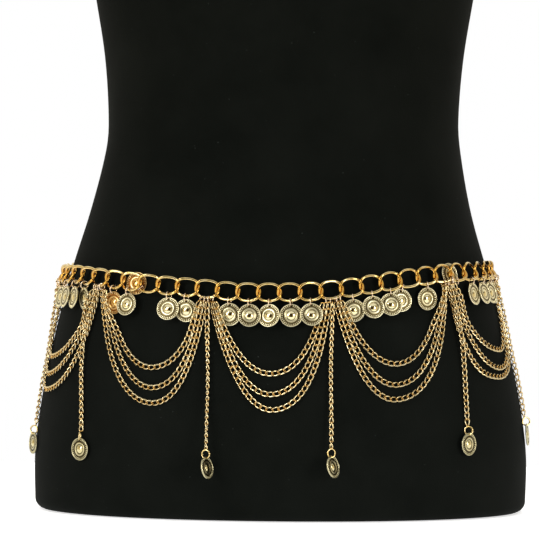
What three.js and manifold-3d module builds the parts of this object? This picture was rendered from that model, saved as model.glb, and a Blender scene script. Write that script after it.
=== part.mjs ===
// A coin chain belt worn on a limbless dress form.
// Millimetres, +Z up, the form's front faces -Y, and +X is on the right of somebody who looks at the front.
// The origin is the middle of the form's flat bottom.
//
// Everything on the form is placed by its bearing (degrees around the form's axis, 0 at the front,
// positive towards +X), its height, and its lift (how far it stands off the form's surface).

import * as THREE from 'three';
import { mergeVertices } from 'three/addons/utils/BufferGeometryUtils.js';
import Module from 'manifold-3d';

const wasm = await Module();
wasm.setup();

// ---------------------------------------------------------------- driving sizes

const TOUCH_GAP = 0.3;

// Main chain: a large open curb chain of twisted oval links.
const LINK_HEIGHT = 13.6;
const LINK_WIRE = 2.0;
const LINK_PITCH = 13.9;
const LINK_TWIST = 0.055;
const LINK_SQUARENESS = 2.3;
const JOINED_OVERLAP = 0.55;
const LINK_SEGMENTS = 10;
const LINK_SIDES = 5;

// Drop links part the belt's bays, and five coin links fill each bay.
const LINKS_PER_BAY = 6;
const FIRST_DROP_LINK = -15;
const FRONT_SHIFT = -7.5;
const BACK_LINKS = { left: 14, right: 15 };

// Coins, and the jump rings that hold them.
const COIN_RADIUS = 7.7;
const COIN_THICKNESS = 0.8;
const COIN_SIDES = 12;
const BOSS_RADIUS = 3.0;
const BOSS_HEIGHT = 0.8;
const HOLE_INSET = 1.3;
const RING_RADIUS = 2.65;
const RING_WIRE = 0.85;
const END_RING_RADIUS = 2.8;
const BUNDLE_RING_RADIUS = 2.1;
const RING_SIDES = 4;
const RING_SEGMENTS = 8;
const RING_SLACK = 0.4;

// Small chains: swags and drops. A plain tube stands for each one.
const STRAND_DIAMETER = 2.4;
const STRAND_STEP = 10.5;
const STRAND_SIDES = 8;

// Dress form.
const FORM_SIDES = 32;
const BASE_CORNER = 7;
const NECK_TOP = 742;
const FORM_SECTIONS = [
  { height: 0, aside: 1.2, halfWidth: 171, front: 121, back: 126, squareness: 2.05 },
  { height: 41, aside: 1.2, halfWidth: 171.4, front: 121.5, back: 128, squareness: 2.05 },
  { height: 83, aside: 0.9, halfWidth: 165.7, front: 120, back: 127, squareness: 2.08 },
  { height: 125, aside: 0.2, halfWidth: 156.3, front: 116.5, back: 122, squareness: 2.15 },
  { height: 167, aside: -0.5, halfWidth: 144.8, front: 111, back: 114, squareness: 2.2 },
  { height: 209, aside: 0, halfWidth: 132.4, front: 104, back: 104, squareness: 2.2 },
  { height: 251, aside: 1.3, halfWidth: 123.5, front: 98.5, back: 95, squareness: 2.15 },
  { height: 272, aside: 1.2, halfWidth: 122.1, front: 97, back: 92, squareness: 2.15 },
  { height: 314, aside: 1.3, halfWidth: 125, front: 98, back: 93, squareness: 2.15 },
  { height: 356, aside: 1.2, halfWidth: 131.6, front: 102, back: 97, squareness: 2.2 },
  { height: 400, aside: 1.2, halfWidth: 139, front: 109.5, back: 102, squareness: 2.2 },
  { height: 425, aside: 1.2, halfWidth: 142.6, front: 115, back: 104, squareness: 2.2 },
  { height: 450, aside: 1.2, halfWidth: 146, front: 118, back: 106, squareness: 2.25 },
  { height: 475, aside: 1.2, halfWidth: 148.8, front: 116, back: 107.8, squareness: 2.25 },
  { height: 500, aside: 1.2, halfWidth: 151, front: 109.5, back: 109, squareness: 2.3 },
  { height: 550, aside: 1, halfWidth: 157, front: 91, back: 108, squareness: 2.3 },
  { height: 595, aside: 0.8, halfWidth: 159, front: 76, back: 98, squareness: 2.3 },
  { height: 622, aside: 0.6, halfWidth: 146, front: 66, back: 86, squareness: 2.3 },
  { height: 645, aside: 0.4, halfWidth: 112, front: 58, back: 74, squareness: 2.2 },
  { height: 664, aside: 0.2, halfWidth: 78, front: 53, back: 66, squareness: 2.1 },
  { height: 684, aside: 0, halfWidth: 60, front: 51, back: 60, squareness: 2 },
  { height: 710, aside: 0, halfWidth: 55, front: 51, back: 57, squareness: 2 },
  { height: NECK_TOP, aside: 0, halfWidth: 54, front: 52, back: 56, squareness: 2 },
];

// The chain dips at the front, and stands off the form by different amounts around it.
const BELT_LINE = [
  { bearing: -180, height: 164.5, lift: 5.2 },
  { bearing: -110, height: 163.4, lift: 4.4 },
  { bearing: -82, height: 161.6, lift: 5.2 },
  { bearing: -70, height: 162, lift: 5 },
  { bearing: -54, height: 159.6, lift: 4.9 },
  { bearing: -39, height: 156.8, lift: 4.2 },
  { bearing: -27, height: 155.1, lift: 3.8 },
  { bearing: -13, height: 152.9, lift: 3.6 },
  { bearing: 8, height: 153.4, lift: 3.6 },
  { bearing: 20, height: 155.5, lift: 3.6 },
  { bearing: 33, height: 159.7, lift: 3.6 },
  { bearing: 45, height: 163.6, lift: 4.1 },
  { bearing: 56, height: 166, lift: 4.9 },
  { bearing: 72, height: 167.3, lift: 4 },
  { bearing: 85, height: 167.6, lift: 3.4 },
  { bearing: 180, height: 164.5, lift: 5.2 },
];

// at is the place of a coin's jump ring on its link, in degrees around the link from its right end.
// yaw turns a coin's right edge away from the form, and lean swings its lower edge away from it,
// both in degrees from lying along the form. A free coin swings on its ring, and a held one lies under a swag.
const COINS = [
  { link: -14, at: 270, yaw: 0, lean: -13, held: true },
  { link: -13, at: 270, yaw: -9, lean: -4, held: false },
  { link: -12, at: 270, yaw: 0, lean: -1, held: false },
  { link: -11, at: 270, yaw: 8, lean: -3, held: false },
  { link: -10, at: 248, yaw: 12, lean: -11, held: true },
  { link: -8, at: 270, yaw: 0, lean: -13, held: true },
  { link: -7, at: 266, yaw: 2, lean: 5, held: false },
  { link: -5, at: 280, yaw: -5, lean: 3, held: false },
  { link: -4, at: 270, yaw: 0, lean: -8, held: true },
  { link: -2, at: 280, yaw: 0, lean: -8, held: true },
  { link: -1, at: 275, yaw: -5, lean: 2, held: false },
  { link: 0, at: 272, yaw: 20, lean: 3, held: false },
  { link: 1, at: 273, yaw: 0, lean: -3, held: false },
  { link: 2, at: 270, yaw: -4, lean: 7, held: false },
  { link: 4, at: 270, yaw: 0, lean: -8, held: true },
  { link: 5, at: 268, yaw: 0, lean: 6, held: false },
  { link: 6, at: 264, yaw: 7, lean: 2, held: false },
  { link: 7, at: 230, yaw: 7, lean: 0, held: false },
  { link: 8, at: 266, yaw: 0, lean: -10, held: true },
  { link: 11, at: 270, yaw: -8, lean: 0, held: false },
  { link: 12, at: 270, yaw: 0, lean: 3, held: false },
  { link: 13, at: 270, yaw: 8, lean: 0, held: false },
  { link: 14, at: 270, yaw: 0, lean: -5, held: true },
];

// Two coins are flipped up and lodged behind the chain. at is the place of the ring on its link,
// in degrees around the link from its right end, and reach points from the coin's hole to its middle.
const FLIPPED_COINS = [
  { link: -6, at: 216, reach: 162, lift: 1.8 },
  { link: 10, at: 262, reach: 122, lift: 1 },
];

// Three swags hang in each bay. low is the height of a swag's lowest point, side is how far that point
// is from the middle of the bay as a share of half the bay, begins and ends are how far beside the middle of
// its two drop links it hangs, and steep and steepEnd say how straight down it hangs at those two ends.
const SWAGS = [
  { bay: 'left_side', strand: 'inner', low: 106, side: -0.35, begins: 5, ends: 3.9, steep: 1.6, steepEnd: 2.5 },
  { bay: 'left_side', strand: 'middle', low: 94, side: -0.35, begins: 3.4, ends: 2.6, steep: 1.6, steepEnd: 2.4 },
  { bay: 'left_side', strand: 'outer', low: 83.4, side: -0.28, begins: 1.9, ends: 1.6, steep: 2.4, steepEnd: 3.3 },
  { bay: 'left', strand: 'inner', low: 101.9, side: 0.09, begins: 7.0, ends: 5, steep: 0.3, steepEnd: 2.8 },
  { bay: 'left', strand: 'middle', low: 88.4, side: 0.12, begins: 5.0, ends: 3.4, steep: 0.8, steepEnd: 2.8 },
  { bay: 'left', strand: 'outer', low: 78.1, side: 0.15, begins: 1.9, ends: 1.9, steep: 2, steepEnd: 2.8 },
  { bay: 'front', strand: 'inner', low: 99, side: 0.02, begins: 5.6, ends: 6.4, steep: 1.4, steepEnd: 2.1 },
  { bay: 'front', strand: 'middle', low: 85.2, side: 0, begins: 4, ends: 4.3, steep: 1, steepEnd: 2.3 },
  { bay: 'front', strand: 'outer', low: 74.9, side: 0.02, begins: 2.4, ends: 2.2, steep: 0.5, steepEnd: 2.6 },
  { bay: 'right', strand: 'inner', low: 105.8, side: -0.08, begins: 5.8, ends: 5, steep: 1.6, steepEnd: 0.9 },
  { bay: 'right', strand: 'middle', low: 91.8, side: -0.1, begins: 4.2, ends: 3.4, steep: 1.8, steepEnd: 1.8 },
  { bay: 'right', strand: 'outer', low: 82, side: -0.12, begins: 2.6, ends: 1.9, steep: 2.1, steepEnd: 2.7 },
  { bay: 'right_side', strand: 'inner', low: 114, side: 0.27, begins: 3.8, ends: 5.6, steep: 2.9, steepEnd: 1 },
  { bay: 'right_side', strand: 'middle', low: 101.7, side: 0.12, begins: 2.3, ends: 3.6, steep: 2.5, steepEnd: 3 },
  { bay: 'right_side', strand: 'outer', low: 95.6, side: 0.05, begins: 0.5, ends: 1.9, steep: 4.6, steepEnd: 3.2 },
];

// Whether the swags of a bay pass over or under the coin beside them, at the bay's two ends.
const BAY_ENDS = [
  { bay: 'left_side', begins: 'over', ends: 'over' },
  { bay: 'left', begins: 'over', ends: 'over' },
  { bay: 'front', begins: 'over', ends: 'under' },
  { bay: 'right', begins: 'over', ends: 'over' },
  { bay: 'right_side', begins: 'over', ends: 'over' },
];

// How the swags are layered at a drop link, as distances out from the chain. They keep these for a length,
// then settle on the form over another length.
const LAYERS = {
  over: { inner: 2.5, middle: 0.3, outer: -2.1, keepFor: 17, settleOver: 26 },
  under: { inner: -1.9, middle: 0.3, outer: 2.4, keepFor: 0, settleOver: 14 },
};
const SWAG_LIFT = 1.6;
const SWAG_TOP = 10.4;
const DROP_TOP_OUT = 0.8;

// A drop hangs from each drop link, with a coin on a ring at its end. aside is how far the drop link's rings
// have slid from its middle, settles is how much of the drop it takes to come to the form,
// halfway and bearing are the drop's bearings half way down and at its ring,
// height and lift place the ring, and yaw and lean turn its coin.
const DROPS = [
  { name: 'drop_1', aside: 0, settles: 0.6, halfway: -88, bearing: -84.2, height: 54.6, lift: 2.8, yaw: -12, lean: -4 },
  { name: 'drop_2', aside: 0.4, settles: 0.85, halfway: -62.1, bearing: -60.6, height: 54.2, lift: 2.6, yaw: 0, lean: -4 },
  { name: 'drop_3', aside: 0.5, settles: 0.6, halfway: -23.1, bearing: -22.6, height: 45.2, lift: 8.2, yaw: -74, lean: 9 },
  { name: 'drop_4', aside: 0.5, settles: 0.6, halfway: 15.9, bearing: 15.3, height: 46.6, lift: 6.2, yaw: -53, lean: 11 },
  { name: 'drop_5', aside: 3.6, settles: 0.85, halfway: 56.6, bearing: 56.4, height: 60.2, lift: 2.6, yaw: -12, lean: -2 },
  { name: 'drop_6', aside: 0, settles: 0.6, halfway: 87, bearing: 85.5, height: 63, lift: 2.6, yaw: 2, lean: -4 },
];

const CLASP = { hoopLength: 12.5, hoopWidth: 9, wire: 2.2, barrelRadius: 1.9, eyeRadius: 2.7, eyeWire: 1.3 };

const MATERIALS = {
  form: new THREE.MeshStandardMaterial({ color: 0x0c0d0c, roughness: 0.95, metalness: 0 }),
  gold: new THREE.MeshStandardMaterial({ color: 0xe0a848, roughness: 0.2, metalness: 1 }),
  coin: new THREE.MeshStandardMaterial({ color: 0xd8cb90, roughness: 0.32, metalness: 1 }),
  strand: new THREE.MeshStandardMaterial({ color: 0xe2b67a, roughness: 0.25, metalness: 1 }),
};

// ---------------------------------------------------------------- the form's surface

const DEGREE = Math.PI / 180;
const UP = new THREE.Vector3(0, 0, 1);

// A smooth curve through the rows of a table, for the columns that it is asked for.
function between(rows, key, at, columns) {
  let i = 0;
  while (i < rows.length - 2 && at > rows[i + 1][key]) i += 1;
  const slope = (k, column) => {
    const before = rows[Math.max(k - 1, 0)];
    const after = rows[Math.min(k + 1, rows.length - 1)];
    return (after[column] - before[column]) / (after[key] - before[key]);
  };
  const span = rows[i + 1][key] - rows[i][key];
  const t = Math.min(Math.max((at - rows[i][key]) / span, 0), 1);
  const rise = t * t * (3 - 2 * t);
  const leave = t * (1 - t) * (1 - t) * span;
  const arrive = t * t * (t - 1) * span;
  const found = {};
  for (const column of columns) {
    const low = rows[i][column];
    const high = rows[i + 1][column];
    found[column] = low + rise * (high - low) + leave * slope(i, column) + arrive * slope(i + 1, column);
  }
  return found;
}

const SECTION_COLUMNS = ['aside', 'halfWidth', 'front', 'back', 'squareness'];

// A point of the form's surface. Each section is a superellipse, deeper or shallower at the back,
// whose middle stands a little aside, because the form isn't quite even.
function formPoint(bearing, height, inset = 0) {
  const section = between(FORM_SECTIONS, 'height', height, SECTION_COLUMNS);
  const across = Math.sin(bearing * DEGREE);
  const along = Math.cos(bearing * DEGREE);
  const depth = Math.abs(bearing) < 90 ? section.front : section.back;
  const n = section.squareness;
  const radius = ((Math.abs(across) / section.halfWidth) ** n + (Math.abs(along) / depth) ** n) ** (-1 / n) - inset;
  return new THREE.Vector3(section.aside + radius * across, -radius * along, height);
}

function formNormal(bearing, height) {
  const around = formPoint(bearing + 0.5, height).sub(formPoint(bearing - 0.5, height));
  const upward = formPoint(bearing, height + 1).sub(formPoint(bearing, height - 1));
  return around.cross(upward).normalize();
}

function onForm(bearing, height, lift) {
  return formPoint(bearing, height).addScaledVector(formNormal(bearing, height), lift);
}

// ---------------------------------------------------------------- the belt line

const BEARING_STEP = 0.25;

const beltLiftAt = (bearing) => between(BELT_LINE, 'bearing', bearing, ['lift']).lift;

// The main chain's centre line as points with their length along it, 0 at the form's front.
const beltLine = [];
for (let bearing = -180; bearing <= 180; bearing += BEARING_STEP) {
  const row = between(BELT_LINE, 'bearing', bearing, ['height', 'lift']);
  const point = onForm(bearing, row.height, row.lift);
  const last = beltLine.at(-1);
  const length = last ? last.length + point.distanceTo(last.point) : 0;
  beltLine.push({ bearing, point, length });
}
const BELT_LENGTH = beltLine.at(-1).length;
const frontLength = beltLine.find((entry) => entry.bearing === 0).length;

function onBeltLine(along) {
  const length = (((along + frontLength) % BELT_LENGTH) + BELT_LENGTH) % BELT_LENGTH;
  const next = Math.max(beltLine.findIndex((entry) => entry.length >= length), 1);
  const a = beltLine[next - 1];
  const b = beltLine[next];
  const share = (length - a.length) / (b.length - a.length);
  return {
    point: a.point.clone().lerp(b.point, share),
    bearing: a.bearing + share * (b.bearing - a.bearing),
  };
}

// The place of a main chain link: its middle, the chain's direction, the form's outward normal and up the form.
function linkFrame(index) {
  const along = FRONT_SHIFT + index * LINK_PITCH;
  const { point, bearing } = onBeltLine(along);
  const right = onBeltLine(along + 4).point.sub(onBeltLine(along - 4).point).normalize();
  const outward = formNormal(bearing, point.z);
  outward.addScaledVector(right, -outward.dot(right)).normalize();
  const up = outward.clone().cross(right);
  return { point, bearing, right, outward, up };
}

// ---------------------------------------------------------------- making solids

function positionsOnly(geometry) {
  geometry.deleteAttribute('normal');
  geometry.deleteAttribute('uv');
  return mergeVertices(geometry, 1e-4);
}

function toSolid(geometry) {
  const merged = positionsOnly(geometry);
  const vertProperties = new Float32Array(merged.attributes.position.array);
  const triVerts = new Uint32Array(merged.index.array);
  return new wasm.Manifold(new wasm.Mesh({ numProp: 3, vertProperties, triVerts }));
}

function toGeometry(solid) {
  const mesh = solid.getMesh();
  const geometry = new THREE.BufferGeometry();
  geometry.setAttribute('position', new THREE.BufferAttribute(new Float32Array(mesh.vertProperties), 3));
  geometry.setIndex(new THREE.BufferAttribute(new Uint32Array(mesh.triVerts), 1));
  return geometry;
}

function joined(geometries) {
  return toGeometry(wasm.Manifold.union(geometries.map(toSolid)));
}

const object = new THREE.Group();

function addMesh(name, geometry, material) {
  geometry.computeVertexNormals();
  const mesh = new THREE.Mesh(geometry, material);
  mesh.name = name;
  object.add(mesh);
}

// A closed wire of even thickness that follows path(angle) around middle: a torus with its points moved there.
// The points start half a step round, so that the wire is flat at its two ends.
function closedWire(path, middle, wire, sides, segments) {
  const geometry = positionsOnly(new THREE.TorusGeometry(10, 1, sides, segments));
  const position = geometry.attributes.position;
  for (let i = 0; i < position.count; i += 1) {
    const p = new THREE.Vector3().fromBufferAttribute(position, i);
    const angle = Math.atan2(p.y, p.x) + Math.PI / segments;
    const turn = Math.atan2(p.z, Math.hypot(p.x, p.y) - 10);
    const here = path(angle);
    const ahead = path(angle + 0.05).sub(path(angle - 0.05)).normalize();
    const outward = here.clone().sub(middle);
    outward.addScaledVector(ahead, -outward.dot(ahead)).normalize();
    const across = outward.clone().cross(ahead);
    here.addScaledVector(outward, (wire / 2) * Math.cos(turn)).addScaledVector(across, (wire / 2) * Math.sin(turn));
    position.setXYZ(i, here.x, here.y, here.z);
  }
  return geometry;
}

// Puts a geometry that was made with x to the right, y into the form and z up in its place on the form.
function placed(geometry, origin, right, outward, up) {
  const matrix = new THREE.Matrix4().makeBasis(right, outward.clone().negate(), up).setPosition(origin);
  return geometry.applyMatrix4(matrix);
}

// A jump ring around a pin, with its upper point in the direction up.
function jumpRing(radius, wire, centre, pin, up) {
  const geometry = new THREE.TorusGeometry(radius, wire / 2, RING_SIDES, RING_SEGMENTS);
  const matrix = new THREE.Matrix4().makeBasis(up.clone().cross(pin), up, pin).setPosition(centre);
  return geometry.applyMatrix4(matrix);
}

// ---------------------------------------------------------------- dress form

// Heights of the form's rings: a rounded lower corner, then the sections with one ring between each two.
function formRings() {
  const rings = [{ height: 0, inset: BASE_CORNER }];
  for (const turn of [30, 60]) {
    rings.push({
      height: BASE_CORNER * (1 - Math.cos(turn * DEGREE)),
      inset: BASE_CORNER * (1 - Math.sin(turn * DEGREE)),
    });
  }
  rings.push({ height: BASE_CORNER, inset: 0 });
  for (const section of FORM_SECTIONS.slice(1)) rings.push({ height: section.height, inset: 0 });
  return rings;
}

function dressForm() {
  const rings = formRings();
  const profile = rings.map((ring, i) => new THREE.Vector2(1, i));
  profile.unshift(new THREE.Vector2(0, 0));
  profile.push(new THREE.Vector2(0, rings.length - 1));
  const geometry = positionsOnly(new THREE.LatheGeometry(profile, FORM_SIDES));
  const position = geometry.attributes.position;
  for (let i = 0; i < position.count; i += 1) {
    const ring = rings[Math.round(position.getY(i))];
    const onAxis = Math.hypot(position.getX(i), position.getZ(i)) < 0.5;
    const bearing = Math.atan2(position.getX(i), position.getZ(i)) / DEGREE;
    const point = onAxis ? new THREE.Vector3(0, 0, ring.height) : formPoint(bearing, ring.height, ring.inset);
    position.setXYZ(i, point.x, point.y, point.z);
  }
  return geometry;
}

addMesh('dress_form', dressForm(), MATERIALS.form);

// ---------------------------------------------------------------- main chain

const rounded = (value) => Math.sign(value) * Math.abs(value) ** (2 / LINK_SQUARENESS);
const LINK_END = rounded(Math.cos(Math.PI / LINK_SEGMENTS));

// A point on a link's wire, in the link's own frame: x along the chain, y into the form, z up.
function linkWire(angle, halfLeft, halfRight) {
  const c = rounded(Math.cos(angle)) / LINK_END;
  const x = c * (c > 0 ? halfRight : halfLeft);
  const z = rounded(Math.sin(angle)) * (LINK_HEIGHT - LINK_WIRE) / 2;
  return new THREE.Vector3(x, LINK_TWIST * x * z, z);
}

// Links of one stretch bear on each other, and the ends of a stretch run free.
const HALF_JOINED = (LINK_PITCH + LINK_WIRE - JOINED_OVERLAP) / 2;
const HALF_FREE = (LINK_PITCH + LINK_WIRE + TOUCH_GAP) / 2;

function link(index, freeLeft, freeRight) {
  const halfLeft = freeLeft ? HALF_FREE : HALF_JOINED;
  const halfRight = freeRight ? HALF_FREE : HALF_JOINED;
  const path = (angle) => linkWire(angle, halfLeft, halfRight);
  const wire = closedWire(path, new THREE.Vector3(), LINK_WIRE, LINK_SIDES, LINK_SEGMENTS);
  const frame = linkFrame(index);
  return placed(wire, frame.point, frame.right, frame.outward, frame.up);
}

const LOWER_WIRE = (LINK_HEIGHT - LINK_WIRE) / 2;
const DROP_RING_SPREAD = 1.8;
const DROP_RING_BELOW = BUNDLE_RING_RADIUS - RING_WIRE / 2 - LINK_WIRE / 2 + 0.25;

const dropLink = (index) => FIRST_DROP_LINK + index * LINKS_PER_BAY;

// Two jump rings on a drop link's lower wire, which the swags and the drop hang from.
function dropRings(row, index) {
  const frame = linkFrame(dropLink(index));
  return [-DROP_RING_SPREAD, DROP_RING_SPREAD].map((spread) => {
    const x = row.aside + spread;
    const z = -LOWER_WIRE * (1 - Math.abs(x / HALF_JOINED) ** LINK_SQUARENESS) ** (1 / LINK_SQUARENESS);
    const centre = frame.point.clone().addScaledVector(frame.up, z - DROP_RING_BELOW);
    centre.addScaledVector(frame.right, x).addScaledVector(frame.outward, -LINK_TWIST * x * z);
    return jumpRing(BUNDLE_RING_RADIUS, RING_WIRE, centre, frame.right, frame.up);
  });
}

function chainStretch(name, first, last) {
  const solids = [];
  for (let index = first; index <= last; index += 1) {
    solids.push(link(index, index === first, index === last));
    const drop = DROPS.findIndex((row, i) => dropLink(i) === index);
    if (drop >= 0) solids.push(...dropRings(DROPS[drop], drop));
  }
  addMesh(name, joined(solids), MATERIALS.gold);
}

const FIRST_LINK = dropLink(0) - BACK_LINKS.left;
const LAST_LINK = dropLink(DROPS.length - 1) + BACK_LINKS.right;

chainStretch('main_chain_left_back', FIRST_LINK, dropLink(1) - 1);
chainStretch('main_chain_left', dropLink(1), dropLink(2) - 1);
chainStretch('main_chain_front', dropLink(2), dropLink(3) - 1);
chainStretch('main_chain_right', dropLink(3), dropLink(4) - 1);
chainStretch('main_chain_right_back', dropLink(4), LAST_LINK);

// ---------------------------------------------------------------- clasp

// A lobster clasp closes the belt at the middle of the back: its hoop is through one end link,
// and the eye on its barrel is through the other.
function clasp() {
  const open = HALF_FREE - LINK_WIRE / 2 - TOUCH_GAP;
  const leftEnd = FRONT_SHIFT + LAST_LINK * LINK_PITCH + open - CLASP.wire;
  const rightEnd = FRONT_SHIFT + FIRST_LINK * LINK_PITCH - open + CLASP.eyeWire;
  const span = rightEnd + BELT_LENGTH - leftEnd;
  const { point, bearing } = onBeltLine(leftEnd + span / 2);
  const right = onBeltLine(leftEnd + span).point.sub(onBeltLine(leftEnd).point).normalize();
  const outward = formNormal(bearing, point.z);
  outward.addScaledVector(right, -outward.dot(right)).normalize();
  const up = outward.clone().cross(right);
  const reach = span / 2;
  const hoopMiddle = -reach + CLASP.hoopLength / 2;
  const eyeMiddle = reach - CLASP.eyeRadius - CLASP.eyeWire / 2;
  const hoopPath = (angle) => new THREE.Vector3(
    hoopMiddle + ((CLASP.hoopLength - CLASP.wire) / 2) * Math.cos(angle),
    ((CLASP.hoopWidth - CLASP.wire) / 2) * Math.sin(angle),
    0,
  );
  const hoop = closedWire(hoopPath, new THREE.Vector3(hoopMiddle, 0, 0), CLASP.wire, LINK_SIDES, LINK_SEGMENTS);
  const barrelStart = hoopMiddle + CLASP.hoopLength / 2 - CLASP.wire / 2;
  const barrelEnd = eyeMiddle - CLASP.eyeRadius;
  const barrel = new THREE.CylinderGeometry(CLASP.barrelRadius, CLASP.barrelRadius, barrelEnd - barrelStart + 0.8, 8);
  barrel.rotateZ(90 * DEGREE);
  barrel.translate((barrelStart + barrelEnd) / 2, 0, 0);
  const eyeCentre = new THREE.Vector3(eyeMiddle, 0, 0);
  const eye = jumpRing(CLASP.eyeRadius, CLASP.eyeWire, eyeCentre, new THREE.Vector3(0, 0, 1), new THREE.Vector3(0, 1, 0));
  return placed(joined([hoop, barrel, eye]), point, right, outward, up);
}

addMesh('lobster_clasp', clasp(), MATERIALS.gold);

// ---------------------------------------------------------------- coins

// A coin in its own frame: face towards -Y, hole at the top, its middle at the origin.
function coinDisc() {
  const half = COIN_THICKNESS / 2;
  const profile = [
    new THREE.Vector2(0, -half),
    new THREE.Vector2(COIN_RADIUS, -half),
    new THREE.Vector2(COIN_RADIUS, half),
    new THREE.Vector2(BOSS_RADIUS, half),
    new THREE.Vector2(0, half + BOSS_HEIGHT),
  ];
  return new THREE.LatheGeometry(profile, COIN_SIDES).rotateX(180 * DEGREE);
}

const HOLE_ABOVE = COIN_RADIUS - HOLE_INSET;

// The ring hangs on its wire with a small gap, and the coin hangs on the ring.
const RING_BELOW = RING_RADIUS - RING_WIRE / 2 - LINK_WIRE / 2 - RING_SLACK;
const COIN_BELOW = RING_BELOW + RING_RADIUS + HOLE_ABOVE;

// A level frame at a place on the form, turned by yaw and leaned out by lean.
function hangingFrame(bearing, height, yaw, lean) {
  const normal = formNormal(bearing, height);
  const outward = new THREE.Vector3(normal.x, normal.y, 0).normalize();
  const slope = Math.atan2(normal.z, Math.hypot(normal.x, normal.y));
  const right = outward.clone().cross(UP).negate();
  right.applyAxisAngle(UP, -yaw * DEGREE);
  const facing = UP.clone().cross(right).negate();
  const tilt = -slope - lean * DEGREE;
  return { right, outward: facing.applyAxisAngle(right, tilt), up: UP.clone().applyAxisAngle(right, tilt) };
}

// A place on a link's wire, at degrees around it, with the direction of the wire there.
function wirePlace(frame, at) {
  const onWire = (angle) => {
    const v = linkWire(angle * DEGREE, HALF_JOINED, HALF_JOINED);
    const point = frame.point.clone().addScaledVector(frame.right, v.x);
    return point.addScaledVector(frame.outward, -v.y).addScaledVector(frame.up, v.z);
  };
  return { point: onWire(at), along: onWire(at + 3).sub(onWire(at - 3)).normalize() };
}

function beltCoin(row) {
  const frame = linkFrame(row.link);
  const { point: pivot, along: pin } = wirePlace(frame, row.at);
  const hang = hangingFrame(frame.bearing, frame.point.z, row.yaw, row.lean);
  const ringUp = hang.up.clone().addScaledVector(pin, -hang.up.dot(pin)).normalize();
  const ringCentre = pivot.clone().addScaledVector(ringUp, -RING_BELOW);
  const ring = jumpRing(RING_RADIUS, RING_WIRE, ringCentre, pin, ringUp);
  const coinCentre = ringCentre.clone().addScaledVector(ringUp, -RING_RADIUS).addScaledVector(hang.up, -HOLE_ABOVE);
  const disc = placed(coinDisc(), coinCentre, hang.right, hang.outward, hang.up);
  return { geometry: joined([disc, ring]), pivot, pin };
}

const coinName = (index) => `coin_${index < 0 ? 'left' : 'right'}_${String(Math.abs(index)).padStart(2, '0')}`;

for (const row of COINS) {
  const coin = beltCoin(row);
  addMesh(coinName(row.link), coin.geometry, MATERIALS.coin);
}

// A flipped coin lies on the form behind the chain, and its ring still holds it to its own link.
function flippedCoin(row) {
  const frame = linkFrame(row.link);
  const { point: wire, along } = wirePlace(frame, row.at);
  const reachIn = (row.lift - beltLiftAt(frame.bearing)) / (RING_BELOW + RING_RADIUS);
  const toHole = frame.outward.clone().multiplyScalar(reachIn);
  toHole.addScaledVector(frame.up, Math.sqrt(Math.max(1 - reachIn * reachIn, 0)));
  toHole.addScaledVector(along, -toHole.dot(along)).normalize();
  const ringCentre = wire.clone().addScaledVector(toHole, RING_BELOW);
  const ring = jumpRing(RING_RADIUS, RING_WIRE, ringCentre, along, toHole);
  const hole = ringCentre.clone().addScaledVector(toHole, RING_RADIUS);
  const reach = frame.right.clone().multiplyScalar(Math.cos(row.reach * DEGREE));
  reach.addScaledVector(frame.up, Math.sin(row.reach * DEGREE));
  const middle = hole.addScaledVector(reach, HOLE_ABOVE);
  const down = reach.clone().negate();
  const disc = placed(coinDisc(), middle, down.clone().cross(frame.outward), frame.outward, down);
  return joined([disc, ring]);
}

for (const row of FLIPPED_COINS) addMesh(coinName(row.link), flippedCoin(row), MATERIALS.coin);

// ---------------------------------------------------------------- swags and drops

function tubeAlong(points) {
  const path = new THREE.CatmullRomCurve3(points);
  const section = new THREE.Shape();
  for (let i = 0; i < STRAND_SIDES; i += 1) {
    const turn = (2 * Math.PI * i) / STRAND_SIDES;
    const x = (STRAND_DIAMETER / 2) * Math.cos(turn);
    const y = (STRAND_DIAMETER / 2) * Math.sin(turn);
    if (i === 0) section.moveTo(x, y);
    else section.lineTo(x, y);
  }
  const steps = Math.round(path.getLength() / STRAND_STEP);
  return positionsOnly(new THREE.ExtrudeGeometry(section, { steps, extrudePath: path, curveSegments: 1 }));
}

const ease = (t) => t * t * (3 - 2 * t);

// The points of a swag: a hanging chain's curve between two drop links, laid on the form.
function swagPoints(row) {
  const bay = BAY_ENDS.findIndex((entry) => entry.bay === row.bay);
  const start = FRONT_SHIFT + dropLink(bay) * LINK_PITCH + DROPS[bay].aside + row.begins;
  const finish = FRONT_SHIFT + dropLink(bay + 1) * LINK_PITCH + DROPS[bay + 1].aside - row.ends;
  const points = [];
  const count = 20;
  for (let i = 0; i <= count; i += 1) {
    const across = -Math.cos((Math.PI * i) / count) * 0.35 + (2 * i / count - 1) * 0.65;
    const ending = across > row.side;
    const shifted = (across - row.side) / (ending ? 1 - row.side : 1 + row.side);
    const steep = ending ? row.steepEnd : row.steep;
    const hang = (Math.cosh(steep * shifted) - 1) / (Math.cosh(steep) - 1);
    const along = start + ((across + 1) / 2) * (finish - start);
    const belt = onBeltLine(along);
    const top = belt.point.z - SWAG_TOP;
    const height = row.low + (top - row.low) * hang;
    const layers = LAYERS[ending ? BAY_ENDS[bay].ends : BAY_ENDS[bay].begins];
    const below = Math.max(top - height - layers.keepFor, 0) / layers.settleOver;
    const settled = ease(Math.min(below, 1));
    const endLift = Math.max(beltLiftAt(belt.bearing) + layers[row.strand], SWAG_LIFT);
    points.push(onForm(belt.bearing, height, endLift + (SWAG_LIFT - endLift) * settled));
  }
  return points;
}

for (const row of SWAGS) addMesh(`swag_${row.bay}_${row.strand}`, tubeAlong(swagPoints(row)), MATERIALS.strand);

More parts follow.
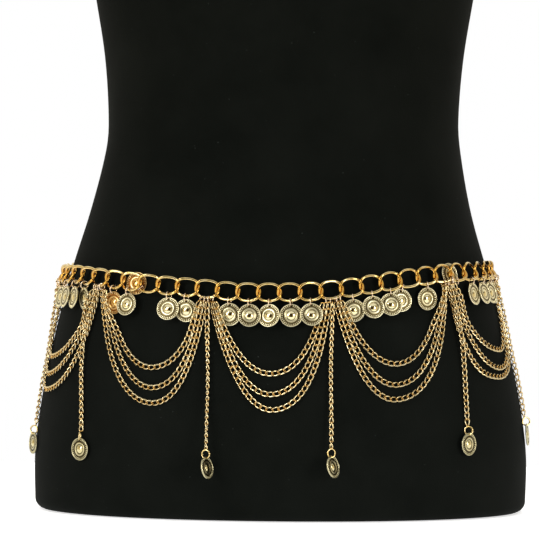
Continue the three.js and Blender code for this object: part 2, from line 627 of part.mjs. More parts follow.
// A drop leaves its link over the swags, swings back to the form, and stands off a little at its ring.
function dropPoints(row, index) {
  const belt = onBeltLine(FRONT_SHIFT + dropLink(index) * LINK_PITCH + row.aside);
  const top = belt.point.z - SWAG_TOP;
  const bottom = row.height + END_RING_RADIUS + RING_WIRE / 2 + TOUCH_GAP;
  const topLift = beltLiftAt(belt.bearing) + DROP_TOP_OUT;
  const path = [
    { down: 0, bearing: belt.bearing },
    { down: 0.4, bearing: row.halfway },
    { down: 1, bearing: row.bearing },
  ];
  const points = [];
  const count = 12;
  for (let i = 0; i <= count; i += 1) {
    const down = i / count;
    const settled = ease(Math.min(down / row.settles, 1));
    const leaving = ease(Math.max((down - 0.45) / 0.55, 0));
    const lift = topLift * (1 - settled) + row.lift * leaving + SWAG_LIFT * Math.max(settled - leaving, 0);
    points.push(onForm(between(path, 'down', down, ['bearing']).bearing, top + (bottom - top) * down, lift));
  }
  return points;
}

// The coin at the end of a drop, with the end ring that holds it. The ring lies along the form.
function dropCoin(row) {
  const ringCentre = onForm(row.bearing, row.height, row.lift);
  const flat = hangingFrame(row.bearing, row.height, 0, 0);
  const turned = hangingFrame(row.bearing, row.height, row.yaw, row.lean);
  const ring = jumpRing(END_RING_RADIUS, RING_WIRE, ringCentre, flat.outward, flat.up);
  const middle = ringCentre.clone().addScaledVector(flat.up, -END_RING_RADIUS).addScaledVector(turned.up, -HOLE_ABOVE);
  const disc = placed(coinDisc(), middle, turned.right, turned.outward, turned.up);
  return joined([disc, ring]);
}

DROPS.forEach((row, index) => {
  addMesh(`${row.name}_chain`, tubeAlong(dropPoints(row, index)), MATERIALS.strand);
  addMesh(`${row.name}_coin`, dropCoin(row), MATERIALS.coin);
});

export default object;
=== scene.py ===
import math

import bmesh
import bpy
import numpy as np
from mathutils import Matrix, Vector


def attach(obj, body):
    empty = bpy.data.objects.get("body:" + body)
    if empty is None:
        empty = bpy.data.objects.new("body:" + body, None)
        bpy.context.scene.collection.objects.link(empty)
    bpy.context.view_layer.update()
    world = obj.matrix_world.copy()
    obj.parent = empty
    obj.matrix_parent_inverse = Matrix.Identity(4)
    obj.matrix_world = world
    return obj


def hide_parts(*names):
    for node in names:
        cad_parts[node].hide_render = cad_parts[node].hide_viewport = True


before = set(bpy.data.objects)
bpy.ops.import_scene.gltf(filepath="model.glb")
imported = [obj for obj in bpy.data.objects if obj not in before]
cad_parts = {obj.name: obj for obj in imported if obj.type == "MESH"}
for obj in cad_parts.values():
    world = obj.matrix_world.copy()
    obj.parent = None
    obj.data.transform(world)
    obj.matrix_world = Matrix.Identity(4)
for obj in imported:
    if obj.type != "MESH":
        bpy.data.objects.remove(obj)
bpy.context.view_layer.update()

# Sizes are in millimetres until a mesh is made, as in the CAD source. Everything on the form is placed by
# its bearing (degrees round the form, 0 at the front, positive towards +X), its height, and its lift off
# the form.
MM = 0.001
ROOT = "belt_on_form"
random = np.random.default_rng(11)

# ---------------------------------------------------------------- sizes shared with the CAD model

LINK_HEIGHT = 13.6
LINK_WIRE = 2.0
LINK_PITCH = 13.9
LINK_TWIST = 0.055
LINK_SQUARENESS = 2.3
JOINED_OVERLAP = 0.55
TOUCH_GAP = 0.3
CAD_LINK_SEGMENTS = 10
LINKS_PER_BAY = 6
FIRST_DROP_LINK = -15
FRONT_SHIFT = -7.5
BACK_LINKS = (14, 15)

COIN_RADIUS = 7.7
COIN_THICKNESS = 0.8
HOLE_INSET = 1.3
HOLE_ABOVE = COIN_RADIUS - HOLE_INSET
HOLE_RADIUS = 0.82
RING_RADIUS = 2.65
RING_WIRE = 0.85
RING_SLACK = 0.4
END_RING_RADIUS = 2.8
BUNDLE_RING_RADIUS = 2.1
RING_BELOW = RING_RADIUS - RING_WIRE / 2 - LINK_WIRE / 2 - RING_SLACK
DROP_RING_BELOW = BUNDLE_RING_RADIUS - RING_WIRE / 2 - LINK_WIRE / 2 + 0.25
LOWER_WIRE = (LINK_HEIGHT - LINK_WIRE) / 2
# The small chains begin at the rings that they hang from, so this is 1.4 mm less than in the CAD model,
# whose plain strands begin a little lower.
SWAG_TOP = 9.0
SWAG_LIFT = 1.6
DROP_TOP_OUT = 0.8
BASE_CORNER = 7
NECK_TOP = 742

# height, how far aside its middle is, half width, depth in front, depth behind, squareness
FORM_SECTIONS = [
    (0, 1.2, 171, 121, 126, 2.05),
    (41, 1.2, 171.4, 121.5, 128, 2.05),
    (83, 0.9, 165.7, 120, 127, 2.08),
    (125, 0.2, 156.3, 116.5, 122, 2.15),
    (167, -0.5, 144.8, 111, 114, 2.2),
    (209, 0, 132.4, 104, 104, 2.2),
    (251, 1.3, 123.5, 98.5, 95, 2.15),
    (272, 1.2, 122.1, 97, 92, 2.15),
    (314, 1.3, 125, 98, 93, 2.15),
    (356, 1.2, 131.6, 102, 97, 2.2),
    (400, 1.2, 139, 109.5, 102, 2.2),
    (425, 1.2, 142.6, 115, 104, 2.2),
    (450, 1.2, 146, 118, 106, 2.25),
    (475, 1.2, 148.8, 116, 107.8, 2.25),
    (500, 1.2, 151, 109.5, 109, 2.3),
    (550, 1, 157, 91, 108, 2.3),
    (595, 0.8, 159, 76, 98, 2.3),
    (622, 0.6, 146, 66, 86, 2.3),
    (645, 0.4, 112, 58, 74, 2.2),
    (664, 0.2, 78, 53, 66, 2.1),
    (684, 0, 60, 51, 60, 2),
    (710, 0, 55, 51, 57, 2),
    (742, 0, 54, 52, 56, 2),
]

# bearing, height, lift
BELT_LINE = [
    (-180, 164.5, 5.2),
    (-110, 163.4, 4.4),
    (-82, 161.6, 5.2),
    (-70, 162, 5),
    (-54, 159.6, 4.9),
    (-39, 156.8, 4.2),
    (-27, 155.1, 3.8),
    (-13, 152.9, 3.6),
    (8, 153.4, 3.6),
    (20, 155.5, 3.6),
    (33, 159.7, 3.6),
    (45, 163.6, 4.1),
    (56, 166, 4.9),
    (72, 167.3, 4),
    (85, 167.6, 3.4),
    (180, 164.5, 5.2),
]

# link, place round the link, yaw, lean, held under a swag
COINS = [
    (-14, 270, 0, -13, True),
    (-13, 270, -9, -4, False),
    (-12, 270, 0, -1, False),
    (-11, 270, 8, -3, False),
    (-10, 248, 12, -11, True),
    (-8, 270, 0, -13, True),
    (-7, 266, 2, 5, False),
    (-5, 280, -5, 3, False),
    (-4, 270, 0, -8, True),
    (-2, 280, 0, -8, True),
    (-1, 275, -5, 2, False),
    (0, 272, 20, 3, False),
    (1, 273, 0, -3, False),
    (2, 270, -4, 7, False),
    (4, 270, 0, -8, True),
    (5, 268, 0, 6, False),
    (6, 264, 7, 2, False),
    (7, 230, 7, 0, False),
    (8, 266, 0, -10, True),
    (11, 270, -8, 0, False),
    (12, 270, 0, 3, False),
    (13, 270, 8, 0, False),
    (14, 270, 0, -5, True),
]

# link, place round the link, reach, lift
FLIPPED_COINS = [
    (-6, 216, 162, 1.8),
    (10, 262, 122, 1),
]

# bay, strand, low, side, begins, ends, steep, steep at its end
SWAGS = [
    ("left_side", "inner", 106, -0.35, 5, 3.9, 1.6, 2.5),
    ("left_side", "middle", 94, -0.35, 3.4, 2.6, 1.6, 2.4),
    ("left_side", "outer", 83.4, -0.28, 1.9, 1.6, 2.4, 3.3),
    ("left", "inner", 101.9, 0.09, 7.0, 5, 0.3, 2.8),
    ("left", "middle", 88.4, 0.12, 5.0, 3.4, 0.8, 2.8),
    ("left", "outer", 78.1, 0.15, 1.9, 1.9, 2, 2.8),
    ("front", "inner", 99, 0.02, 5.6, 6.4, 1.4, 2.1),
    ("front", "middle", 85.2, 0, 4, 4.3, 1, 2.3),
    ("front", "outer", 74.9, 0.02, 2.4, 2.2, 0.5, 2.6),
    ("right", "inner", 105.8, -0.08, 5.8, 5, 1.6, 0.9),
    ("right", "middle", 91.8, -0.1, 4.2, 3.4, 1.8, 1.8),
    ("right", "outer", 82, -0.12, 2.6, 1.9, 2.1, 2.7),
    ("right_side", "inner", 114, 0.27, 3.8, 5.6, 2.9, 1),
    ("right_side", "middle", 101.7, 0.12, 2.3, 3.6, 2.5, 3),
    ("right_side", "outer", 95.6, 0.05, 0.5, 1.9, 4.6, 3.2),
]

# bay, how the swags pass the coin at its beginning and at its end
BAY_ENDS = [
    ("left_side", "over", "over"),
    ("left", "over", "over"),
    ("front", "over", "under"),
    ("right", "over", "over"),
    ("right_side", "over", "over"),
]

# name, aside, how much of it takes to settle, halfway bearing, bearing, height, lift, yaw, lean
DROPS = [
    ("drop_1", 0, 0.6, -88, -84.2, 54.6, 2.8, -12, -4),
    ("drop_2", 0.4, 0.85, -62.1, -60.6, 54.2, 2.6, 0, -4),
    ("drop_3", 0.5, 0.6, -23.1, -22.6, 45.2, 8.2, -74, 9),
    ("drop_4", 0.5, 0.6, 15.9, 15.3, 46.6, 6.2, -53, 11),
    ("drop_5", 3.6, 0.85, 56.6, 56.4, 60.2, 2.6, -12, -2),
    ("drop_6", 0, 0.6, 87, 85.5, 63, 2.6, 2, -4),
]

# How the swags are layered at a drop link: inner, middle and outer as distances out from the chain,
# the length they keep these for, and the length over which they then settle on the form.
LAYERS = {
    "over": ({"inner": 2.5, "middle": 0.3, "outer": -2.1}, 17, 26),
    "under": ({"inner": -1.9, "middle": 0.3, "outer": 2.4}, 0, 14),
}

# ---------------------------------------------------------------- sizes that only show here

CHAIN_PITCH = 4.15
CHAIN_WIRE = 0.96
CHAIN_HALF = (CHAIN_PITCH + CHAIN_WIRE) / 2
CHAIN_HALF_HEIGHT = 1.5
CHAIN_TWIST = 0.3
CHAIN_SQUARENESS = 2.1
# How unevenly links and bundle rings lie: the spread, in degrees, of the random turn that each is given.
CHAIN_LOOSENESS = 5.0
LINK_LOOSENESS = 1.2
BUNDLE_LOOSENESS = 12
SWAG_POINTS = 60
DROP_POINTS = 40
# How far the swags lie in towards the form at its sides, below the rings: none up to the first of these
# bearings, all of it from the second, and over this much height below the belt.
SIDE_TUCK = 2.6
SIDE_TUCK_BEARINGS = (70, 80)
SIDE_TUCK_HEIGHT = 12
# How much closer to the form a drop's chain ends than the middle of its end ring.
DROP_END_IN = 0.9
# Where a drop link's rings are along it, and how near its end they may be.
BUNDLE_RINGS = (-4.5, -1.8, 1.8, 4.5)
BUNDLE_END_GAP = 1.7
END_RING_WIRE = 1.0
COIN_TEETH = 31
# Coins of a warmer gold than the others, by link.
WARM_COINS = (-8, -6)

# ---------------------------------------------------------------- the shapes that pieces are placed on


def between(rows, at, column):
    """A column of a table at a value of its first column, by a smooth curve through the rows."""
    i = 0
    while i < len(rows) - 2 and at > rows[i + 1][0]:
        i += 1

    def slope(k):
        before, after = rows[max(k - 1, 0)], rows[min(k + 1, len(rows) - 1)]
        return (after[column] - before[column]) / (after[0] - before[0])

    span = rows[i + 1][0] - rows[i][0]
    t = min(max((at - rows[i][0]) / span, 0), 1)
    low, high = rows[i][column], rows[i + 1][column]
    curve = low + t * t * (3 - 2 * t) * (high - low)
    return curve + t * (1 - t) ** 2 * span * slope(i) + t * t * (t - 1) * span * slope(i + 1)


def unit(v):
    return v / np.linalg.norm(v)


def ease(t):
    """A smooth step from 0 to 1."""
    return t * t * (3 - 2 * t)


def form_point(bearing, height, inset=0.0):
    """A point of the form's surface, or inset into it."""
    aside, width, front, back, power = (between(FORM_SECTIONS, height, k) for k in (1, 2, 3, 4, 5))
    across, along = math.sin(math.radians(bearing)), math.cos(math.radians(bearing))
    depth = front if abs(bearing) < 90 else back
    radius = ((abs(across) / width) ** power + (abs(along) / depth) ** power) ** (-1 / power) - inset
    return np.array([aside + radius * across, -radius * along, height])


def form_normal(bearing, height):
    round_form = form_point(bearing + 0.5, height) - form_point(bearing - 0.5, height)
    return unit(np.cross(round_form, form_point(bearing, height + 1) - form_point(bearing, height - 1)))


def on_form(bearing, height, lift):
    return form_point(bearing, height) + form_normal(bearing, height) * lift


def belt_line():
    """The belt's line round the form: lengths from the back, points and bearings."""
    bearings = np.arange(-180, 180.01, 0.25)
    points = [on_form(b, between(BELT_LINE, b, 1), between(BELT_LINE, b, 2)) for b in bearings]
    steps = np.linalg.norm(np.diff(points, axis=0), axis=1)
    return np.concatenate([[0], np.cumsum(steps)]), np.array(points), bearings


BELT_LENGTHS, BELT_POINTS, BELT_BEARINGS = belt_line()
BELT_LENGTH = BELT_LENGTHS[-1]
FRONT_LENGTH = BELT_LENGTHS[len(BELT_BEARINGS) // 2]


def on_belt_line(along):
    at = (along + FRONT_LENGTH) % BELT_LENGTH
    point = np.array([np.interp(at, BELT_LENGTHS, BELT_POINTS[:, k]) for k in range(3)])
    return point, float(np.interp(at, BELT_LENGTHS, BELT_BEARINGS))


def frame_along(start, finish):
    """The place and directions of what lies on the belt's line between two lengths along it."""
    point, bearing = on_belt_line((start + finish) / 2)
    right = unit(on_belt_line(finish)[0] - on_belt_line(start)[0])
    outward = form_normal(bearing, point[2])
    outward = unit(outward - right * outward.dot(right))
    return point, bearing, right, outward, np.cross(outward, right)


def link_frame(index):
    along = FRONT_SHIFT + index * LINK_PITCH
    reach = 4
    return frame_along(along - reach, along + reach)


def drop_link(index):
    return FIRST_DROP_LINK + index * LINKS_PER_BAY


def drop_along(index):
    return FRONT_SHIFT + drop_link(index) * LINK_PITCH + DROPS[index][1]


def turned(vector, axis, degrees):
    return np.array(Matrix.Rotation(math.radians(degrees), 3, Vector(axis)) @ Vector(vector))


# ---------------------------------------------------------------- mesh making


class Shape:
    """Vertices in millimetres and faces, gathered for one mesh."""

    def __init__(self):
        self.points, self.faces, self.values, self.count = [], [], [], 0

    def add(self, points, faces, values=None):
        points = np.asarray(points, float)
        self.points.append(points)
        self.faces.append([f + self.count for f in faces])
        self.values.append(np.zeros(len(points)) if values is None else np.asarray(values, float))
        self.count += len(points)
        return self

    def whole(self):
        return np.concatenate(self.points), sum(self.faces, []), np.concatenate(self.values)

    def add_placed(self, other, origin, right, outward, up):
        """Adds another shape, whose x runs along right, y against outward and z along up."""
        points, faces, values = other.whole()
        basis = np.stack([right, -np.asarray(outward), up])
        return self.add(np.asarray(origin) + points @ basis, faces, values)

    def piece(self, name, material, sharp=None):
        """A Blender object of the shape, in metres, with smooth faces."""
        points, faces, values = self.whole()
        mesh = bpy.data.meshes.new(name)
        mesh.vertices.add(len(points))
        mesh.vertices.foreach_set("co", (points * MM).ravel())
        sizes = np.array([len(f) for f in faces])
        mesh.loops.add(int(sizes.sum()))
        mesh.loops.foreach_set("vertex_index", np.concatenate(faces).astype(np.int32))
        mesh.polygons.add(len(faces))
        mesh.polygons.foreach_set("loop_start", np.concatenate([[0], np.cumsum(sizes)[:-1]]).astype(np.int32))
        mesh.update(calc_edges=True)
        mesh.validate()
        mesh.shade_smooth()
        if sharp:
            mesh.set_sharp_from_angle(angle=math.radians(sharp))
        # This attribute carries painted shade and highlight: at the link ends, and by height on the coins.
        relief = mesh.attributes.new("relief", "FLOAT", "POINT")
        relief.data.foreach_set("value", values)
        mesh.materials.append(material)
        obj = bpy.data.objects.new(name, mesh)
        bpy.context.scene.collection.objects.link(obj)
        return obj


def grid_faces(rows, columns, close_rows=False):
    """Quads of a grid of points whose columns close round. Rows close too if asked."""
    faces = []
    for i in range(rows if close_rows else rows - 1):
        for j in range(columns):
            a, b = i * columns, ((i + 1) % rows) * columns
            k = (j + 1) % columns
            faces.append(np.array([a + j, a + k, b + k, b + j]))
    return faces


def facing_out(points, faces):
    """The faces turned to face out of the closed shape that they make."""
    volume = 0.0
    for face in faces:
        for a, b in zip(face[1:-1], face[2:]):
            volume += np.dot(points[face[0]], np.cross(points[a], points[b]))
    return points, [f[::-1] for f in faces] if volume < 0 else faces


def lofted(rings, first_tip, last_tip):
    """A closed shape over rings of points, which are all as long as each other, with a tip at either end."""
    points = np.concatenate([*rings, [first_tip], [last_tip]])
    faces = grid_faces(len(rings), len(rings[0]))
    last = len(points) - 2 - len(rings[0])
    for j in range(len(rings[0])):
        k = (j + 1) % len(rings[0])
        faces.append(np.array([len(points) - 2, k, j]))
        faces.append(np.array([len(points) - 1, last + j, last + k]))
    return facing_out(points, faces)


def closed_wire(path, wire, segments, sides):
    """A closed wire along path(angle), in a plane near x and z. path takes all the angles at once."""
    angles = np.arange(segments) * 2 * math.pi / segments
    step = 0.01
    here = path(angles)
    ahead = path(angles + step) - path(angles - step)
    ahead /= np.linalg.norm(ahead, axis=1)[:, None]
    away = here - (here * ahead).sum(1)[:, None] * ahead
    away /= np.linalg.norm(away, axis=1)[:, None]
    across = np.cross(ahead, away)
    turns = np.arange(sides) * 2 * math.pi / sides
    rings = here[:, None] + wire / 2 * (
        away[:, None] * np.cos(turns)[None, :, None] + across[:, None] * np.sin(turns)[None, :, None])
    return Shape().add(rings.reshape(-1, 3), grid_faces(segments, sides, close_rows=True))


def oval(half, half_height, twist, squareness):
    """The path of a twisted oval link, x along the chain, y into the form and z up."""
    def path(angles):
        c, s = np.cos(angles), np.sin(angles)
        x = half * np.sign(c) * np.abs(c) ** (2 / squareness)
        z = half_height * np.sign(s) * np.abs(s) ** (2 / squareness)
        return np.stack([x, twist * x * z, z], axis=1)
    return path


def circle(radius):
    return lambda angles: np.stack([radius * np.cos(angles), 0 * angles, radius * np.sin(angles)], axis=1)


def add_ring(shape, ring, centre, pin, up):
    """A jump ring whose axis is pin."""
    across = np.cross(up, pin)
    return shape.add_placed(ring, centre, across, -np.asarray(pin), up)


# ---------------------------------------------------------------- camera, at the photograph's viewing angle


def make_camera():
    distance, aim_across, aim_height, lens, sensor = 2600, -7.3, 167, 247.9, 36
    tilt, roll = math.radians(0.6), math.radians(0.5)
    ahead = Vector((0, math.cos(tilt), -math.sin(tilt)))
    right = Vector((1, 0, 0))
    up = right.cross(ahead)
    turned_right = right * math.cos(roll) + up * math.sin(roll)
    turned_up = up * math.cos(roll) - right * math.sin(roll)
    place = Vector((aim_across, 0, aim_height)) - ahead * distance
    data = bpy.data.cameras.new("camera")
    data.sensor_width = sensor
    data.lens = lens
    data.clip_end = 20
    camera = bpy.data.objects.new("camera", data)
    basis = Matrix((turned_right, turned_up, -ahead)).transposed()
    camera.matrix_world = Matrix.Translation(place * MM) @ basis.to_4x4()
    bpy.context.scene.collection.objects.link(camera)
    bpy.context.scene.camera = camera


make_camera()

# ---------------------------------------------------------------- materials


class Nodes:
    """A short way to write a node tree."""

    def __init__(self, tree):
        self.tree = tree

    def new(self, kind, values=None, **settings):
        node = self.tree.nodes.new("ShaderNode" + kind)
        for name, value in settings.items():
            setattr(node, name, value)
        for name, value in (values or {}).items():
            if isinstance(value, bpy.types.NodeSocket):
                self.tree.links.new(value, node.inputs[name])
            else:
                node.inputs[name].default_value = value
        return node

    def link(self, source, node, name):
        self.tree.links.new(source, node.inputs[name])

    def ramp(self, factor, stops, colour=False):
        """A colour ramp through (place, value) stops. The values are greys, or colours if asked."""
        node = self.new("ValToRGB", {"Fac": factor})
        elements = node.color_ramp.elements
        while len(elements) < len(stops):
            elements.new(0.5)
        for element, (at, value) in zip(elements, stops):
            element.position = at
            element.color = (*value, 1) if colour else (value, value, value, 1)
        return node.outputs["Color"]


def surface(name, build):
    """A material whose Principled shader's sockets build(nodes, shader, coordinates) sets."""
    material = bpy.data.materials.new(name)
    material.use_nodes = True
    tree = material.node_tree
    nodes = Nodes(tree)
    shader = tree.nodes["Principled BSDF"]
    coordinates = nodes.new("TexCoord").outputs["Object"]
    build(nodes, shader, coordinates)
    return material


def polished_metal(light, dark, painted_joint_shade, rough, scratch_scale=900):
    """Plated wire: patchy tone, painted shade and reflection deepening the colour towards the link ends where
    links meet, fine scratches, and a faintly uneven surface.
    """
    def build(nodes, shader, where):
        patches = nodes.new("TexNoise", {"Vector": where, "Scale": 260.0, "Detail": 3.0, "Roughness": 0.6})
        tone = nodes.new("Mix", data_type="RGBA")
        nodes.link(nodes.ramp(patches.outputs["Fac"], [(0.35, 0.0), (0.7, 1.0)]), tone, "Factor")
        tone.inputs["A"].default_value = (*light, 1)
        tone.inputs["B"].default_value = (*dark, 1)
        # Painted shade and reflection: towards the link ends the colour turns to the third, deeper colour,
        # standing in for the shade and gold-on-gold reflections where links meet.
        joint_shade = nodes.new("Attribute", attribute_name="relief").outputs["Fac"]
        painted_shading = nodes.new("Mix", {"Factor": joint_shade}, data_type="RGBA")
        nodes.link(tone.outputs["Result"], painted_shading, "A")
        painted_shading.inputs["B"].default_value = (*painted_joint_shade, 1)
        scratches = nodes.new("TexNoise", {"Vector": where, "Scale": float(scratch_scale), "Detail": 4.0,
                                           "Roughness": 0.7, "Distortion": 0.6})
        spread = nodes.new("MapRange", {"Value": scratches.outputs["Fac"], "From Min": 0.3, "From Max": 0.75,
                                        "To Min": rough * 0.75, "To Max": rough * 1.35})
        bump = nodes.new("Bump", {"Height": scratches.outputs["Fac"], "Strength": 0.12, "Distance": 0.00012})
        shader.inputs["Metallic"].default_value = 1.0
        nodes.link(painted_shading.outputs["Result"], shader, "Base Color")
        nodes.link(spread.outputs["Result"], shader, "Roughness")
        nodes.link(bump.outputs["Normal"], shader, "Normal")
    return build


def struck_coin(low, middle, high, boss, rough):
    """Stamped metal: bright on what stands up, as painted highlight, and darker and duller where the relief
    is low, as partly patina and partly painted shade.
    """
    def build(nodes, shader, where):
        relief = nodes.new("Attribute", attribute_name="relief").outputs["Fac"]
        grain = nodes.new("TexNoise", {"Vector": where, "Scale": 1300.0, "Detail": 4.0, "Roughness": 0.65})
        shifted = nodes.new("Math", {0: grain.outputs["Fac"], 1: -0.5}, operation="ADD")
        painted_shading = nodes.new("Math", {0: shifted.outputs[0], 1: 0.16, 2: relief}, operation="MULTIPLY_ADD")
        # Painted shade and highlight: the ramp runs from dark in the low relief to bright on what stands up.
        tone = nodes.ramp(painted_shading.outputs[0], [(0.12, low), (0.40, middle), (0.62, high), (0.8, boss)],
                          colour=True)
        spread = nodes.ramp(painted_shading.outputs[0], [(0.0, rough * 1.4), (0.6, rough), (0.8, rough * 0.4)])
        bump = nodes.new("Bump", {"Height": grain.outputs["Fac"], "Strength": 0.1, "Distance": 0.0001})
        shader.inputs["Metallic"].default_value = 1.0
        nodes.link(tone, shader, "Base Color")
        nodes.link(spread, shader, "Roughness")
        nodes.link(bump.outputs["Normal"], shader, "Normal")
    return build


def stretch_cloth(nodes, shader, where):
    """Black jersey: fine stitches, slightly uneven dye, and a few specks of lint."""
    stitches = nodes.new("TexVoronoi", {"Vector": where, "Scale": 1100.0, "Randomness": 0.55})
    clouds = nodes.new("TexNoise", {"Vector": where, "Scale": 18.0, "Detail": 4.0, "Roughness": 0.6})
    lint = nodes.new("TexVoronoi", {"Vector": where, "Scale": 140.0, "Randomness": 1.0})
    specks = nodes.ramp(lint.outputs["Distance"], [(0.02, 1.0), (0.065, 0.0)])
    chosen = nodes.new("SeparateColor", {"Color": lint.outputs["Color"]})
    rare = nodes.ramp(chosen.outputs["Red"], [(0.2, 0.05), (0.9, 0.6), (1.0, 1.0)])
    shown = nodes.new("Math", {0: specks, 1: rare}, operation="MULTIPLY")
    dye = nodes.ramp(clouds.outputs["Fac"], [
        (0.3, (0.0030, 0.0038, 0.0030)),
        (0.75, (0.0056, 0.0066, 0.0054)),
    ], colour=True)
    tone = nodes.new("Mix", {"Factor": shown.outputs[0]}, data_type="RGBA")
    nodes.link(dye, tone, "A")
    tone.inputs["B"].default_value = (0.06, 0.07, 0.065, 1)
    rough = nodes.new("MapRange", {"Value": stitches.outputs["Distance"], "To Min": 0.82, "To Max": 0.97})
    bump = nodes.new("Bump", {"Height": stitches.outputs["Distance"], "Strength": 0.35, "Distance": 0.0003})
    shader.inputs["Specular IOR Level"].default_value = 0.03
    shader.inputs["Sheen Weight"].default_value = 0.01
    shader.inputs["Sheen Roughness"].default_value = 0.5
    nodes.link(tone.outputs["Result"], shader, "Base Color")
    nodes.link(rough.outputs["Result"], shader, "Roughness")
    nodes.link(bump.outputs["Normal"], shader, "Normal")


# Each wire's third colour is painted shade and reflection at the link ends.
GOLD = surface("gold", polished_metal(
    light=(0.82, 0.65, 0.34), dark=(0.62, 0.44, 0.13), painted_joint_shade=(0.53, 0.27, 0.03), rough=0.09))
STRAND = surface("strand", polished_metal(
    light=(0.80, 0.69, 0.43), dark=(0.61, 0.47, 0.22), painted_joint_shade=(0.40, 0.21, 0.03), rough=0.1,
    scratch_scale=1500))
RING = surface("ring", polished_metal(
    light=(0.80, 0.66, 0.48), dark=(0.66, 0.48, 0.30), painted_joint_shade=(0.6, 0.4, 0.2), rough=0.13,
    scratch_scale=1500))
COIN = surface("coin", struck_coin(
    (0.10, 0.075, 0.03), (0.56, 0.49, 0.27), (0.86, 0.79, 0.53), (0.82, 0.72, 0.42), rough=0.3))
DROP_COIN = surface("drop_coin", struck_coin(
    (0.03, 0.022, 0.008), (0.33, 0.29, 0.15), (0.58, 0.53, 0.33), (0.62, 0.54, 0.29), rough=0.3))
WARM_COIN = surface("warm_coin", struck_coin(
    (0.26, 0.10, 0.02), (0.66, 0.40, 0.11), (0.84, 0.62, 0.30), (0.80, 0.52, 0.18), rough=0.3))
CLOTH = surface("cloth", stretch_cloth)

# ---------------------------------------------------------------- small chains: swags and drops


def link_of(path, half, wire, segments, sides):
    """A chain link, marked by how near each place is to its ends, where its neighbours meet it, for painted
    shade and reflection there.
    """
    points, faces, _ = closed_wire(path, wire, segments, sides).whole()
    # Painted shade where links meet: these set where along the link it begins, how far it grows, and how
    # strong it gets.
    unshaded_to, shade_over, most = 0.5, 0.4, 0.85
    joint_shade = np.clip((np.abs(points[:, 0]) / half - unshaded_to) / shade_over, 0, 1) * most
    return Shape().add(points, faces, joint_shade)


SMALL_LINK = link_of(oval(CHAIN_HALF, CHAIN_HALF_HEIGHT, CHAIN_TWIST, CHAIN_SQUARENESS),
                     CHAIN_HALF, CHAIN_WIRE, 24, 8)


def swag_path(row):
    """A swag's curve: a chain's hang between two drop links, standing off the form until it settles on it."""
    bay_name, strand, low, side, begins, ends, steep, steep_end = row
    bay = [entry[0] for entry in BAY_ENDS].index(bay_name)
    start = drop_along(bay) + begins
    finish = drop_along(bay + 1) - ends
    # Points are closer together at the ends: this share of their spacing is even, and the rest is a circle's.
    even = 0.65
    keep_share, settle_share, gather, gather_height = 0.4, 0.8, 0.6, 6
    tuck_from, tuck_to = SIDE_TUCK_BEARINGS
    points, bearings = [], []
    for i in range(SWAG_POINTS + 1):
        at = i / SWAG_POINTS
        across = -math.cos(math.pi * at) * (1 - even) + (2 * at - 1) * even
        ending = across > side
        shifted = (across - side) / (1 - side if ending else 1 + side)
        curve = steep_end if ending else steep
        hang = (math.cosh(curve * shifted) - 1) / (math.cosh(curve) - 1)
        belt, bearing = on_belt_line(start + (across + 1) / 2 * (finish - start))
        top = belt[2] - SWAG_TOP
        height = low + (top - low) * hang
        out, keep_for, settle_over = LAYERS[BAY_ENDS[bay][2 if ending else 1]]
        settled = ease(min(max(top - height - keep_for * keep_share, 0) / settle_over / settle_share, 1))
        gathered = gather * (1 - ease(min((top - height) / gather_height, 1)))
        end_lift = max(between(BELT_LINE, bearing, 2) + out[strand] * (1 - gathered), SWAG_LIFT)
        stand = end_lift + (SWAG_LIFT - end_lift) * settled
        at_side = min(max((abs(bearing) - tuck_from) / (tuck_to - tuck_from), 0), 1)
        tuck = SIDE_TUCK * at_side * ease(min((top - height) / SIDE_TUCK_HEIGHT, 1))
        points.append(on_form(bearing, height, max(stand - tuck, min(stand, SWAG_LIFT))))
        bearings.append(bearing)
    return np.array(points), bearings


def drop_path(row, index):
    """A drop's curve: down from its drop link onto the form, then out to its end ring."""
    _, _, settles, halfway, bearing, height, lift, _, _ = row
    belt, top_bearing = on_belt_line(drop_along(index))
    top = belt[2] - SWAG_TOP
    bottom = height + END_RING_RADIUS + RING_WIRE / 2 + TOUCH_GAP
    top_lift = between(BELT_LINE, top_bearing, 2) + DROP_TOP_OUT
    places = [(0, top_bearing), (0.4, halfway), (1, bearing)]
    leaves_at = 0.45
    points, bearings = [], []
    for i in range(DROP_POINTS + 1):
        down = i / DROP_POINTS
        settled = ease(min(down / settles, 1))
        leaving = ease(max((down - leaves_at) / (1 - leaves_at), 0))
        here = between(places, down, 1)
        stand = (top_lift * (1 - settled) + (lift - DROP_END_IN) * leaving
                 + SWAG_LIFT * max(settled - leaving, 0))
        points.append(on_form(here, top + (bottom - top) * down, stand))
        bearings.append(here)
    return np.array(points), bearings


def chain_along(points, bearings, rolls):
    """Links of small chain along a path, and its length. rolls are how far it is twisted, at even spaces."""
    steps = np.linalg.norm(np.diff(points, axis=0), axis=1)
    lengths = np.concatenate([[0], np.cumsum(steps)])
    count = round(lengths[-1] / CHAIN_PITCH)
    pitch = lengths[-1] / count
    reach = 1.5

    def at(s):
        return np.array([np.interp(s, lengths, points[:, k]) for k in range(3)])

    shape = Shape()
    for i in range(count):
        s = (i + 0.5) * pitch
        centre = at(s)
        right = unit(at(min(s + reach, lengths[-1])) - at(max(s - reach, 0)))
        outward = form_normal(float(np.interp(s, lengths, bearings)), centre[2])
        outward = unit(outward - right * outward.dot(right))
        roll = np.interp((i + 0.5) / count, np.linspace(0, 1, len(rolls)), rolls)
        outward = turned(outward, right, roll + random.normal(0, CHAIN_LOOSENESS))
        shape.add_placed(SMALL_LINK, centre, right, outward, np.cross(outward, right))
    return shape, lengths[-1]


def lay_chain(name, points, bearings, rolls):
    """A swag or drop: its links in place of the CAD model's plain strand."""
    shape, length = chain_along(points, bearings, rolls)
    piece = shape.piece(name + "_links", STRAND)
    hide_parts(name)
    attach(piece, ROOT)


